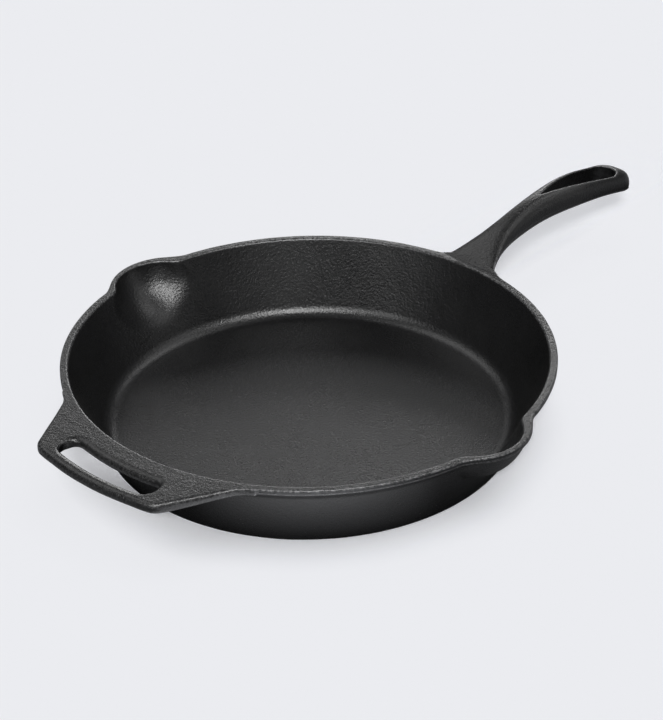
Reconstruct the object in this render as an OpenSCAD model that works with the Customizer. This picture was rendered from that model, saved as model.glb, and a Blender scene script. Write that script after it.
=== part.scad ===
// Cast iron skillet: a round pan with leaning walls, a pouring lip on each side,
// an arched long handle with a hanging hole, and a slotted helper handle opposite.
// The real object is one casting, so its nodes are regions that meet face to face.
// Millimetres, +Z up, origin at the centre of the flat base, long handle along +X.

/* [Pan] */
// Diameter across the outside of the rim
rim_d = 300; // [270:1:340]
// Height of the rim above the base
pan_h = 51; // [46:1:58]
// Angle by which the outside of the wall leans out from upright
wall_lean = 25; // [20:0.5:28]
// Thickness of the floor
floor_t = 6.5; // [5:0.5:8]
// Level thickness of the wall at the floor
wall_foot_t = 4.2; // [4:0.2:6]
// Radius of the inside corner between floor and wall
floor_fillet_r = 10; // [7:0.5:14]
// Radius of the outside corner between base and wall
heel_r = 4; // [2:0.5:6]

/* [Rim] */
// Width of the rim's flat top
rim_land = 4.8; // [4.2:0.1:6]
// Height of the bead round the outside of the rim
bead_h = 4.5; // [3.5:0.5:7]
// Distance by which the bead stands out of the wall
bead_out = 1.2; // [0.6:0.1:2]
// Radius of the rim's two top edges
rim_edge_r = 1; // [0.5:0.1:1.5]

/* [Pouring spouts] */
// Distance by which a lip reaches past the rim
lip_reach = 11.5; // [7:0.5:14]
// Radius of a lip's outside, seen from above
lip_r = 37; // [34:0.5:42]
// Thickness of the lip at its outermost point
lip_t = 3.4; // [3:0.1:4.5]
// Distance of the lips from the pan's middle, towards the long handle
lip_shift = 3; // [0:0.5:4]
// Radius of a scoop at the rim, seen from above
scoop_r = 30; // [27:0.5:32]
// Depth of the scoop's bowl below the rim
scoop_depth = 24; // [18:0.5:30]

/* [Long handle] */
// Length from the rim to the tip
handle_l = 155; // [140:1:180]
// Height of the crest above the rim
crest_rise = 22.5; // [14:0.5:28]
// Distance of the crest from the rim
crest_at = 75; // [66:1:84]
// Drop of the top line from the crest to the tip
tip_drop = 13; // [6:0.5:20]
// Thickness at the rim, before the fillet
root_t = 5; // [4:0.5:9]
// Thickness at the crest
crest_t = 17.5; // [14:0.5:20]
// Thickness of the outline at the tip, before the tip is rounded off
tip_t = 16.5; // [13:0.5:20]
// Width at the rim, before the fillets
root_w = 34; // [28:1:44]
// Width at the narrow neck
neck_w = 17; // [14:0.5:20]
// Distance of the neck from the rim
neck_at = 49; // [42:1:58]
// Width of the grip beside the hanging hole
grip_w = 26; // [25:0.5:32]
// Radius of the fillets between the handle and the pan
root_fillet_r = 5; // [4:0.5:10]
// Length over which the tip is rounded off
tip_round = 15; // [11:0.5:20]

/* [Hanging hole] */
// Length of the teardrop hole
hole_l = 73; // [54:1:80]
// Width of the hole's round end
hole_w = 19; // [12:0.5:19]
// Iron left between the hole and the tip
hole_land = 13; // [10:0.5:16]

/* [Helper handle] */
// Distance by which the helper handle reaches past the rim
helper_reach = 33.5; // [30:0.5:40]
// Thickness of the helper handle
helper_t = 7; // [7:0.5:10]
// Width across the helper handle's outer corners
helper_w = 105; // [97:1:116]
// Radius of the outer corners, seen from above
corner_r = 11; // [7:0.5:14]
// Angle at which the arms spread towards the pan
arm_spread = 28; // [24:1:32]
// Radius of the fillets between the arms and the rim
arm_fillet_r = 25; // [12:1:32]
// Width of the grip bar outside the finger slot
bar_w = 8.5; // [8:0.5:11]
// Width of the finger slot
slot_w = 14; // [11:0.5:16]
// Length of the finger slot along its middle
slot_l = 76; // [60:1:80]
// Radius of the helper handle's outer edges
helper_edge_r = 3; // [1.5:0.5:3.5]
// Radius of the slot's edges
slot_edge_r = 2.5; // [1.5:0.5:3.5]
// Distance by which the slot's pan side rolls over at the top
slot_roll = 5; // [2:0.5:6]

/* [Hidden] */
$fn = 96;
ARC_N = 6;
LIP_N = 10;
SECTION_N = 32;
rim_r = rim_d / 2;
lean = tan(wall_lean);
inner_top_r = rim_r - rim_land;
inner_foot_r = wall_out(floor_t) - wall_foot_t;
bead_z = pan_h - bead_h;
lip_axis = rim_r + lip_reach - lip_r;
scoop_axis = rim_r + lip_reach - lip_t - scoop_r;
bowl_r = drop_r(scoop_r, scoop_depth);
bowl_z = pan_h - scoop_depth + bowl_r;
shell_r = bowl_r + lip_t;
lip_foot_r = lip_r - 2 * bead_out;
tip_x = rim_r + handle_l;
root_x = rim_r - rim_edge_r;
crest_x = rim_r + crest_at;
crest_z = pan_h + crest_rise;
neck_x = rim_r + neck_at;
hole_x = tip_x - hole_land;
hole_r = hole_w / 2;
grip_x = hole_x - 3 * hole_r;
round_x = tip_x - tip_round;
grip_parting = 0.35;
root_parting = 0.75;
tip_power = 2.4;
tip_height = 0.5;
belly_power = 2;
grip_power = 2.5;
root_power = 3.4;
bar_r = rim_r + helper_reach;
slot_out_r = bar_r - bar_w;
slot_in_r = slot_out_r - slot_w;
corner_axis_r = bar_r - corner_r;
corner_a = asin((helper_w / 2 - corner_r) / corner_axis_r);
corner_o = corner_axis_r * [cos(corner_a), sin(corner_a)];
arm_n = [sin(arm_spread), cos(arm_spread)];
arm_d = [-cos(arm_spread), sin(arm_spread)];
fillet_start = corner_o + (corner_r + arm_fillet_r) * arm_n;
fillet_along = fillet_start * arm_d;
fillet_axis_r = rim_r + arm_fillet_r;
fillet_run = -fillet_along
    - sqrt(pow(fillet_along, 2) - fillet_start * fillet_start + pow(fillet_axis_r, 2));
fillet_o = fillet_start + fillet_run * arm_d;
fillet_a = atan2(fillet_o.y, fillet_o.x);
slot_a = 90 * (slot_l - slot_w) / (PI * (slot_in_r + slot_w / 2));
core_r = rim_r - 20;

// Radius of the wall's outside at a height above the base
function wall_out(z) = rim_r - bead_out - (pan_h - z) * lean;

// Radius of the wall's inside at a height above the base
function wall_in(z) =
    inner_foot_r + (inner_top_r - inner_foot_r) * (z - floor_t) / (pan_h - floor_t);

function unit(v) = v / norm(v);

// Points of an arc about a centre, from one angle to another
function arc(centre, r, from, to, n = ARC_N) =
    [for (i = [0:n]) let (a = from + (to - from) * i / n) centre + r * [cos(a), sin(a)]];

// Points that round off corner b between its neighbours a and c
function round_corner(a, b, c, r) =
    let (
        u = unit(a - b),
        w = unit(c - b),
        half = acos(u * w) / 2,
        centre = b + unit(u + w) * r / sin(half),
        p = b + u * r / tan(half) - centre,
        q = b + w * r / tan(half) - centre,
        from = atan2(p.y, p.x),
        turn = (atan2(q.y, q.x) - from + 540) % 360 - 180
    )
    arc(centre, r, from, from + turn);

// Outer and inner corners of the pan's section
base_corner = [wall_out(0), 0];
bead_foot = [wall_out(bead_z), bead_z];
bead_low = [rim_r, bead_z + bead_out];
bead_top = [rim_r, pan_h];
inner_top = [inner_top_r, pan_h];
floor_corner = [inner_foot_r, floor_t];

function heel() = round_corner([0, 0], base_corner, bead_foot, heel_r);
function rim_top() = concat(
    round_corner(bead_low, bead_top, inner_top, rim_edge_r),
    round_corner(bead_top, inner_top, floor_corner, rim_edge_r)
);

// Everything inside the pan's outer surface and above it, which cuts off what joins it
module pan_envelope() {
    over = pan_h + crest_rise;
    rotate_extrude()
        polygon(concat(
            [[0, 0]],
            heel(),
            [bead_foot, bead_low],
            round_corner(bead_low, bead_top, inner_top, rim_edge_r),
            [[rim_r - rim_edge_r, over], [0, over]]
        ));
}

// Moves a part onto the axis of the lip on one side, +1 for +Y
module at_lip(side) {
    translate([lip_shift, side * lip_axis, 0])
        children();
}

// Ball about the middle of the bowl on one side
module bowl(side, r) {
    translate([lip_shift, side * scoop_axis, bowl_z])
        sphere(r);
}

module both_scoops() {
    for (side = [-1, 1])
        bowl(side, bowl_r);
}

// Solid through rings of points of equal number
module skin(rings) {
    n = len(rings[0]);
    last = len(rings) - 1;
    points = [for (ring = rings) each ring];
    sides = [
        for (j = [0:last - 1], i = [0:n - 1])
            let (k = (i + 1) % n)
            each [
                [j * n + i, (j + 1) * n + k, j * n + k],
                [j * n + i, (j + 1) * n + i, (j + 1) * n + k],
            ]
    ];
    ends = [[for (i = [0:n - 1]) i], [for (i = [n - 1:-1:0]) last * n + i]];
    polyhedron(points, concat(sides, ends));
}

module pan_floor() {
    color("#2b2b2d")
        rotate_extrude()
            polygon(concat(
                [[0, 0]],
                heel(),
                [[wall_out(floor_t), floor_t], [0, floor_t]]
            ));
}

// Half of the wall up to the rim, with the fillet that leads into the floor, from a start angle
module half_wall(start) {
    color("#262628")
        difference() {
            rotate([0, 0, start])
                rotate_extrude(angle = 180)
                    polygon(concat(
                        [[wall_out(floor_t), floor_t], bead_foot, [wall_in(bead_z), bead_z]],
                        round_corner(inner_top, floor_corner, [0, floor_t], floor_fillet_r)
                    ));
            both_scoops();
        }
}

module handle_side_wall() {
    half_wall(-90);
}

module helper_side_wall() {
    half_wall(90);
}

// Half of the beaded rim, between the two scoops, from a start angle
module half_rim(start) {
    color("#343436")
        difference() {
            rotate([0, 0, start])
                rotate_extrude(angle = 180)
                    polygon(concat(
                        [[wall_in(bead_z), bead_z], bead_foot, bead_low],
                        rim_top()
                    ));
            both_scoops();
        }
}

module handle_side_rim() {
    half_rim(-90);
}

module helper_side_rim() {
    half_rim(90);
}

// Beaded lip and bowl round one scoop, outside the pan's wall
module spout(side) {
    color("#303032")
        difference() {
            union() {
                intersection() {
                    bowl(side, shell_r);
                    at_lip(side)
                        cylinder(h = bead_z + bead_out, r = lip_r);
                }
                at_lip(side)
                    rotate_extrude()
                        polygon(concat(
                            [[0, bead_z], [lip_foot_r, bead_z], [lip_r, bead_z + bead_out]],
                            round_corner([lip_r, bead_z], [lip_r, pan_h], [0, pan_h], rim_edge_r),
                            [[0, pan_h]]
                        ));
            }
            bowl(side, bowl_r);
            pan_envelope();
        }
}

module left_spout() {
    spout(1);
}

module right_spout() {
    spout(-1);
}

// Radius of the circle that is level at its crest and drops by this much over a run
function drop_r(run, drop) = (run * run + drop * drop) / (2 * drop);

// Drop below the crest of two arcs that meet level there
function arch_drop(x, root_drop, end_drop) =
    let (
        r = x < crest_x ? drop_r(crest_x - root_x, root_drop) : drop_r(tip_x - crest_x, end_drop),
        run = x - crest_x
    )
    r - sqrt(r * r - run * run);

function handle_top(x) = crest_z - arch_drop(x, crest_rise, tip_drop);

// Growth of the root at x by the fillet that leads into the pan
function root_fillet(x) =
    let (inside = min(root_fillet_r, max(0, rim_r + root_fillet_r - x)))
    root_fillet_r - sqrt(pow(root_fillet_r, 2) - inside * inside);

function handle_under(x) =
    crest_z - crest_t - root_fillet(x)
        - arch_drop(x, crest_rise + root_t - crest_t, tip_drop + tip_t - crest_t);

// Share of its full size that the section keeps at x, from one down to nothing at the tip
function tip_share(x) =
    x < round_x ? 1 : pow(1 - pow((x - round_x) / tip_round, tip_power), 1 / tip_power);

// Half the handle's width: fillet and flare at the root, a neck, and a wider grip
function handle_half(x) =
    let (
        flare = 1 - min(1, max(0, (x - rim_r) / neck_at)),
        swell = min(1, max(0, (x - neck_x) / (grip_x - neck_x)))
    )
    (neck_w + (root_w - neck_w) * flare * flare
        + (grip_w - neck_w) * (1 - cos(180 * swell)) / 2) / 2 + root_fillet(x);

// Curve that is rounder or squarer with its power
function rounded(v, power) = sign(v) * pow(abs(v), 2 / power);

// Closed section across the handle: flattened top, rounder belly, widest at the parting line
function handle_section(x) =
    let (
        share = tip_share(x),
        half = handle_half(x) * share,
        flat = 1 - min(1, max(0, (x - rim_r) / neck_at)),
        top_power = grip_power + (root_power - grip_power) * flat,
        parting = grip_parting + (root_parting - grip_parting) * flat,
        low = handle_under(x),
        middle = low + parting * (handle_top(x) - low),
        squat = tip_height + (1 - tip_height) * share
    )
    [for (i = [0:SECTION_N - 1])
        let (
            a = 360 * i / SECTION_N,
            power = sin(a) < 0 ? belly_power : top_power,
            reach = sin(a) < 0 ? middle - low : handle_top(x) - middle
        )
        [x, half * rounded(cos(a), power), middle + squat * reach * rounded(sin(a), power)]];

// Stations along the handle, closer together at the root fillets and at the tip
function handle_stations() = concat(
    [rim_r - 12, rim_r - 4],
    [for (i = [0:6]) rim_r + root_fillet_r * pow(i / 6, 2)],
    [for (i = [1:22]) rim_r + root_fillet_r + (round_x - rim_r - root_fillet_r) * i / 22],
    [for (a = [15:15:75]) round_x + tip_round * sin(a)],
    [tip_x - 0.1]
);

// Teardrop with bowed sides, pointed towards the pan
module hanging_hole() {
    straight = hole_l - hole_r;
    bow_r = drop_r(straight, hole_r);
    bow = asin(straight / bow_r);
    centre = hole_x - hole_r;
    translate([0, 0, -1])
        linear_extrude(crest_z + 2)
            polygon(concat(
                arc([centre, 0], hole_r, -90, 90, 2 * LIP_N),
                arc([centre, hole_r - bow_r], bow_r, 90, 90 + bow),
                arc([centre, bow_r - hole_r], bow_r, -90 - bow, -90)
            ));
}

module long_handle() {
    color("#2e2e30")
        difference() {
            skin([for (x = handle_stations()) handle_section(x)]);
            pan_envelope();
            hanging_hole();
        }
}

// An arc's points without its two ends, where the neighbouring arcs have theirs
function between(points) = [for (i = [1:len(points) - 2]) points[i]];

function mirrored(points) = [for (i = [len(points) - 1:-1:0]) [points[i].x, -points[i].y]];

function at_z(points, z) = [for (p = points) [p.x, p.y, z]];

// Outline of the helper handle seen from above, drawn in by some distance all round
function helper_outline(inset) =
    let (
        side = concat(
            arc(corner_o, corner_r - inset, corner_a, 90 - arm_spread),
            arc(fillet_o, arm_fillet_r + inset, 270 - arm_spread, 180 + fillet_a),
            [core_r * [cos(fillet_a), sin(fillet_a)]]
        )
    )
    concat(
        mirrored(side),
        between(arc([0, 0], bar_r - inset, -corner_a, corner_a, LIP_N)),
        side
    );

// Outline of the finger slot, grown towards the pan and towards the bar
function slot_outline(pan_side, bar_side) =
    let (
        outer = slot_out_r + bar_side,
        inner = slot_in_r - pan_side,
        end_r = (outer - inner) / 2,
        end_o = (outer + inner) / 2 * [cos(slot_a), sin(slot_a)],
        end = arc(end_o, end_r, slot_a, slot_a + 180, LIP_N)
    )
    concat(
        mirrored(end),
        between(arc([0, 0], outer, -slot_a, slot_a, LIP_N)),
        end,
        between(arc([0, 0], inner, slot_a, -slot_a, LIP_N))
    );

// Plate of the helper handle with all its outer edges rounded
module helper_plate() {
    low = pan_h - helper_t;
    skin(concat(
        [for (a = [0:22.5:90])
            at_z(helper_outline(helper_edge_r * (1 - sin(a))), low + helper_edge_r * (1 - cos(a)))],
        [for (a = [90:-22.5:0])
            at_z(helper_outline(helper_edge_r * (1 - sin(a))), pan_h - helper_edge_r * (1 - cos(a)))]
    ));
}

// Space of the finger slot, wider at both faces, most of all at the top of the pan's side
module finger_slot() {
    low = pan_h - helper_t;
    over = 1;
    roll_depth = helper_t / 2;
    skin(concat(
        [at_z(slot_outline(slot_edge_r, slot_edge_r), low - over)],
        [for (a = [0:22.5:90])
            at_z(
                slot_outline(slot_edge_r * (1 - sin(a)), slot_edge_r * (1 - sin(a))),
                low + slot_edge_r * (1 - cos(a))
            )],
        [for (a = [90:-22.5:0])
            at_z(
                slot_outline(slot_roll * (1 - sin(a)), slot_edge_r * (1 - sin(a))),
                pan_h - roll_depth * (1 - cos(a))
            )],
        [at_z(slot_outline(slot_roll, slot_edge_r), pan_h + over)]
    ));
}

module helper_handle() {
    color("#313133")
        difference() {
            rotate([0, 0, 180])
                difference() {
                    helper_plate();
                    finger_slot();
                }
            pan_envelope();
        }
}

pan_floor();
handle_side_wall();
helper_side_wall();
handle_side_rim();
helper_side_rim();
left_spout();
right_spout();
long_handle();
helper_handle();
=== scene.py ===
"""Cast iron skillet: the shown pieces, their finish and a plain studio.

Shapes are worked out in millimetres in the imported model's own frame and become metres when a mesh is
made. The pan is a grid of columns round its axis and rows along its section. The two handles are
distance fields that blend into the pan's wall.
"""

import logging
import math
from dataclasses import dataclass, field
from enum import Enum
from itertools import product

import bpy
import numpy as np
from mathutils import Matrix, Vector


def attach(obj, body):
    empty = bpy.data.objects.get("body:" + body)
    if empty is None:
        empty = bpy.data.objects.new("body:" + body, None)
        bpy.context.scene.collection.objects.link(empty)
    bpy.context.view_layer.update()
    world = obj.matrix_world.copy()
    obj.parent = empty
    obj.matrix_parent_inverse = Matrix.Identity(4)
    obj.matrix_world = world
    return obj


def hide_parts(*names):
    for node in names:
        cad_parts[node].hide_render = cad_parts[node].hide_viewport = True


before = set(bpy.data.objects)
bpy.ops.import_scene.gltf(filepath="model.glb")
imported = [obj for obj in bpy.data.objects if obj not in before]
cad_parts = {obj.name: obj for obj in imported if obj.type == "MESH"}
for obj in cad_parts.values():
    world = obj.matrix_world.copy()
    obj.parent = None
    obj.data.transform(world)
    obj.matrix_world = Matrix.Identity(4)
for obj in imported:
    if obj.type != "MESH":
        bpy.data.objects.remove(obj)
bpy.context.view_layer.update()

Array = np.ndarray
Span = tuple[float, float]
Spot = tuple[float, float, float]
Four = tuple[float, float, float, float]
Faces = list[list[tuple[int, int]]]
Socket = bpy.types.NodeSocket

MM = 0.001
TINY = 1e-9
SHORTEST = 1e-12
WEAR_AND_HIGHLIGHT = "wear_and_highlight"
BLACK = (0.0, 0.0, 0.0, 1.0)
LOG = logging.getLogger("skillet")

# An edge is rubbed where the face bends fast, and its lighter colour there is partly wear and partly a
# painted highlight. The bend is measured along mesh edges whose length is between the first two values in
# millimetres, and the wear and painted highlight grow between the last two bends.
EDGE_LEAST = 0.12
EDGE_SPAN = 2.0
EDGE_DULL = 0.08
EDGE_KEEN = 0.46


class Side(Enum):
    """Side of the pan on which a region lies, as the angle of its middle in degrees."""

    HANDLE = 0.0
    LEFT = 90.0
    HELPER = 180.0
    RIGHT = 270.0


def smooth_max(a: Array, b: Array, width: Array | float) -> Array:
    """Larger of two fields, rounded where they are within a width of each other."""
    near = np.clip(1.0 - np.abs(a - b) / width, 0.0, 1.0)
    return np.maximum(a, b) + near * near * width / 4.0


def smooth_min(a: Array, b: Array, width: Array | float) -> Array:
    """Smaller of two fields, rounded where they are within a width of each other."""
    return -smooth_max(-a, -b, width)


def ease(low: float, high: float, value: Array) -> Array:
    """Smooth step from 0 at low to 1 at high."""
    t = np.clip((value - low) / (high - low), 0.0, 1.0)
    return t * t * (3.0 - 2.0 * t)


def steps(start: float, end: float, count: int) -> Array:
    """Even steps from one value to another, with the first left out."""
    return np.linspace(start, end, count + 1)[1:]


def toward(azimuth: float, elevation: float) -> Vector:
    """Direction at two angles in degrees, seen from the pan's middle."""
    a, e = math.radians(azimuth), math.radians(elevation)
    return Vector((math.cos(e) * math.cos(a), math.cos(e) * math.sin(a), math.sin(e)))


def turned(first: Vector, second: Vector, angle: float) -> tuple[Vector, Vector]:
    """Two directions at right angles, turned in their plane by an angle in radians."""
    c, s = math.cos(angle), math.sin(angle)
    return first * c + second * s, second * c - first * s


def arc(centre: Span, radius: float, start: float, end: float, count: int) -> Array:
    """Points along an arc, both ends included.

    Args:
        centre: Middle of the circle.
        radius: Its radius.
        start: Angle of the first point in degrees.
        end: Angle of the last point in degrees.
        count: Number of steps.

    Returns:
        An array of x and y.
    """
    a = np.radians(np.linspace(start, end, count + 1))
    return np.stack([centre[0] + radius * np.cos(a), centre[1] + radius * np.sin(a)], axis=-1)


def outline_distance(x: Array, y: Array, outline: Array) -> Array:
    """Signed distance to a closed outline.

    Args:
        x: Positions along X.
        y: Positions along Y, of the same shape.
        outline: Corners of the outline in order.

    Returns:
        Distances, negative inside the outline.
    """
    best = np.full(x.shape, np.inf)
    inside = np.zeros(x.shape, dtype=bool)
    for (ax, ay), (bx, by) in zip(outline, np.roll(outline, -1, axis=0)):
        ex, ey = bx - ax, by - ay
        length = ex * ex + ey * ey
        if length < SHORTEST:
            continue
        t = np.clip(((x - ax) * ex + (y - ay) * ey) / length, 0.0, 1.0)
        best = np.minimum(best, (x - ax - t * ex) ** 2 + (y - ay - t * ey) ** 2)
        spans = (ay > y) != (by > y)
        if ay != by:
            inside ^= spans & (x < ax + (y - ay) * ex / ey)
    return np.where(inside, -1.0, 1.0) * np.sqrt(best)


@dataclass(frozen=True)
class SandFace:
    """Slow rise and fall of a sand-cast face, with its depth and wave lengths in millimetres."""

    depth: float = 0.12
    long_waves: Four = (7.1, 11.3, 6.3, 8.7)
    short_waves: tuple[float, ...] = (3.9, 5.2, 3.1, 6.1, 3.3, 4.3)
    starts: Span = (0.6, 1.1)
    sway: float = 1.9
    short_share: float = 0.6
    tallest: float = 3.2

    def swell(self, points: Array) -> Array:
        """How deep the face lies at some points.

        Args:
            points: Positions in millimetres, with x, y and z last.

        Returns:
            Depths from nothing to the full depth, one for each point.
        """
        x, y, z = points[..., 0], points[..., 1], points[..., 2]
        a, b, c, d = self.long_waves
        wave = np.sin(x / a + self.sway * np.sin(y / b) + self.starts[0])
        wave = wave * np.sin(y / c - z / d + self.starts[1])
        a, b, c, d, e, f = self.short_waves
        wave = wave + self.short_share * np.sin(x / a - y / b + z / c) * np.sin(x / d + y / e - z / f)
        return self.depth * (0.5 + wave / self.tallest)


@dataclass
class MeshParts:
    """Vertices, faces and shading normals of one piece, in millimetres."""

    points: Array
    faces: list[list[int]]
    normals: Array

    def sharpness(self) -> Array:
        """How strongly the surface bends outwards.

        Returns:
            The bend for each millimetre along the surface, one value for each point.
        """
        quads = np.array([face for face in self.faces if len(face) == 4])
        first = quads.ravel()
        second = np.roll(quads, -1, axis=1).ravel()
        along = self.points[second] - self.points[first]
        length = np.maximum((along * along).sum(axis=-1), TINY)
        bend = ((self.normals[second] - self.normals[first]) * along).sum(axis=-1) / length
        near = (length > EDGE_LEAST**2) & (length < EDGE_SPAN**2)
        ends = np.concatenate([first[near], second[near]])
        count = np.maximum(np.bincount(ends, minlength=len(self.points)), 1)
        return np.bincount(ends, np.tile(bend[near], 2), len(self.points)) / count

    def make(self, name: str) -> bpy.types.Object:
        """Turns the parts into an object of the scene.

        Args:
            name: Name of the new piece.

        Returns:
            The object, linked to the scene's collection.
        """
        mesh = bpy.data.meshes.new(name)
        mesh.from_pydata((self.points * MM).tolist(), [], self.faces)
        mesh.validate()
        mesh.polygons.foreach_set("use_smooth", [True] * len(mesh.polygons))
        mesh.normals_split_custom_set_from_vertices(self.normals.tolist())
        # Mask of rubbed edges, which also carries a painted highlight.
        wear_and_highlight = ease(EDGE_DULL, EDGE_KEEN, self.sharpness())
        mesh.attributes.new(WEAR_AND_HIGHLIGHT, "FLOAT", "POINT").data.foreach_set("value", wear_and_highlight.astype(np.float32))
        mesh.update()
        piece = bpy.data.objects.new(name, mesh)
        bpy.context.scene.collection.objects.link(piece)
        return piece


@dataclass(frozen=True)
class PanForm:
    """Sizes of the pan, and its inside and outside radius at any angle and height.

    The two pairs are angles from the long handle in degrees, between which the rim's edge changes.
    """

    rim_r: float = 150.0
    height: float = 51.0
    lean: float = math.tan(math.radians(25.0))
    floor_t: float = 6.5
    foot_t: float = 4.2
    fillet_r: float = 10.0
    heel_r: float = 4.0
    land: float = 4.8
    bead_h: float = 4.5
    bead_out: float = 1.2
    bead_soft: float = 0.9
    bead_clear: float = 1.0
    edge_r: float = 1.0
    land_edge_r: float = 0.25
    grip_turn: Span = (9.0, 12.0)
    helper_turn: Span = (149.0, 156.0)
    lip_reach: float = 11.5
    lip_r: float = 37.0
    lip_t: float = 3.4
    lip_h: float = 3.0
    lip_shift: float = 3.0
    lip_fall: float = 3.0
    scoop_shift: float = 1.4
    scoop_r: float = 29.0
    scoop_depth: float = 24.0
    scoop_blend: float = 10.0
    corner_blend: float = 4.0
    corner_h: float = 14.0
    outer_blend: float = 6.0
    walk_steps: int = 90
    face: SandFace = SandFace()

    @property
    def bead_z(self) -> float:
        """Height of the line below the bead."""
        return self.height - self.bead_h

    @property
    def slant(self) -> float:
        """Length along the outside of the wall for each millimetre of height."""
        return math.hypot(1.0, self.lean)

    @property
    def inner_slant(self) -> float:
        """Length along the inside of the wall for each millimetre of height."""
        return math.hypot(1.0, self.inner_lean)

    @property
    def inner_foot_r(self) -> float:
        """Inside radius where the wall would meet the floor."""
        return self.wall_out(self.floor_t) - self.foot_t

    @property
    def inner_lean(self) -> float:
        """Growth of the inside radius for each millimetre of height."""
        return (self.rim_r - self.land - self.inner_foot_r) / (self.height - self.floor_t)

    @property
    def floor_r(self) -> float:
        """Radius of the flat cooking floor, inside the fillet."""
        return self.inner_foot_r + self.inner_lean * self.fillet_r - self.fillet_r * self.inner_slant

    @property
    def heel_axis(self) -> float:
        """Distance of the heel's rounding from the pan's axis."""
        return self.wall_out(self.heel_r) - self.heel_r * self.slant

    @property
    def lip_axis(self) -> float:
        """Distance of a lip's axis from the plane through the handles."""
        return self.rim_r + self.lip_reach - self.lip_r

    @property
    def scoop_axis(self) -> float:
        """Distance of a scoop's axis from the plane through the handles."""
        return self.rim_r + self.lip_reach - self.lip_t - self.scoop_r

    @property
    def bowl_r(self) -> float:
        """Radius of the ball that shapes a spout's inside."""
        return (self.scoop_r**2 + self.scoop_depth**2) / (2.0 * self.scoop_depth)

    @property
    def bowl_z(self) -> float:
        """Height of the middle of that ball."""
        return self.height - self.scoop_depth + self.bowl_r

    def wall_out(self, z: Array | float) -> Array | float:
        """Radius of the plain leaning wall's outside."""
        return self.rim_r - self.bead_out - (self.height - z) * self.lean

    def ball(self, radius: float, z: Array) -> Array:
        """Radius at a height of a ball in the place of a spout's bowl, negative where it has none."""
        left = radius**2 - (z - self.bowl_z) ** 2
        return np.sign(left) * np.sqrt(np.abs(left))

    def circle(self, angle: Array, radius: Array, shift: float, axis: float) -> Array:
        """Distance from the pan's axis to the far side of a circle over the nearer spout.

        Args:
            angle: Angle round the pan in radians.
            radius: Radius of the circle, negative for no circle.
            shift: Distance of the circle's middle towards the long handle.
            axis: Distance of the circle's middle from the plane through the handles.

        Returns:
            Distances, falling away outside the circle.
        """
        across = np.abs(axis * np.cos(angle) - shift * np.abs(np.sin(angle)))
        along = axis * np.abs(np.sin(angle)) + shift * np.cos(angle)
        chord = np.sqrt(np.maximum(radius**2 - across**2, 0.0))
        return np.where(across < radius, along + chord, along - self.lip_fall * (across - radius))

    def outside(self, angle: Array, z: Array, inset: Array | float = 0.0) -> Array:
        """Radius of the outside at an angle and height.

        Args:
            angle: Angle round the pan in radians.
            z: Height above the base.
            inset: Distance by which an edge is drawn in there.

        Returns:
            Radii in millimetres.
        """
        slope = self.bead_z + self.bead_out - z
        bead = smooth_min(np.zeros_like(slope), -slope, self.bead_soft) - inset
        below = np.clip(self.heel_r - z, 0.0, self.heel_r)
        heel = self.heel_axis + np.sqrt(np.maximum(self.heel_r**2 - below**2, 0.0))
        heel_top = self.heel_r * (1.0 - self.lean / self.slant)
        wall = np.where(z < heel_top, heel, self.wall_out(z))
        on_bead = z > self.bead_z + self.bead_clear
        pan = smooth_max(np.where(on_bead, 0.0, wall), self.rim_r + bead, self.bead_soft)
        shell = np.where(on_bead, -1.0, self.ball(self.bowl_r + self.lip_t, z))
        band = np.where(slope < self.lip_h, self.lip_r + bead, -1.0)
        bowl = self.circle(angle, shell, self.scoop_shift, self.scoop_axis)
        lip = self.circle(angle, band, self.lip_shift, self.lip_axis)
        return smooth_max(pan, smooth_max(bowl, lip, self.bead_soft), self.outer_blend)

    def inside(self, angle: Array, z: Array, grow: Array | float = 0.0) -> Array:
        """Radius of the inside at an angle and height.

        Args:
            angle: Angle round the pan in radians.
            z: Height above the base.
            grow: Distance by which an edge is drawn back there.

        Returns:
            Radii in millimetres.
        """
        centre_z = self.floor_t + self.fillet_r
        fillet_top = centre_z - self.fillet_r * (self.inner_lean / self.inner_slant)
        below = np.clip(centre_z - z, 0.0, self.fillet_r)
        fillet = self.floor_r + np.sqrt(np.maximum(self.fillet_r**2 - below**2, 0.0))
        wall = self.inner_foot_r + self.inner_lean * (z - self.floor_t)
        pan = np.where(z < fillet_top, fillet, wall) + grow
        high = ease(self.height - self.corner_h, self.height, z)
        soft = self.scoop_blend + (self.corner_blend - self.scoop_blend) * high
        pan, grow, soft = np.broadcast_arrays(pan + 0.0 * angle, grow, soft)
        radius = pan
        # The blend of wall and bowl has no radius in closed form, so each point walks out to it.
        for _ in range(self.walk_steps):
            wall_gap = (radius - pan) / self.inner_slant
            across = radius * np.cos(angle) - self.scoop_shift
            along = radius * np.abs(np.sin(angle)) - self.scoop_axis
            bowl_gap = np.sqrt(across**2 + along**2 + (z - self.bowl_z) ** 2) - self.bowl_r - grow
            radius = radius - smooth_min(wall_gap, bowl_gap, soft)
        return radius

    def edge(self, angle: Array) -> Array:
        """Rounding of the rim's outer edge.

        Args:
            angle: Angle round the pan in radians.

        Returns:
            Radii in millimetres, small where a handle runs on from the rim.
        """
        turn = np.degrees(np.arccos(np.clip(np.cos(angle), -1.0, 1.0)))
        plain = ease(*self.grip_turn, turn) * (1.0 - ease(*self.helper_turn, turn))
        return self.land_edge_r + (self.edge_r - self.land_edge_r) * plain

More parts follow.
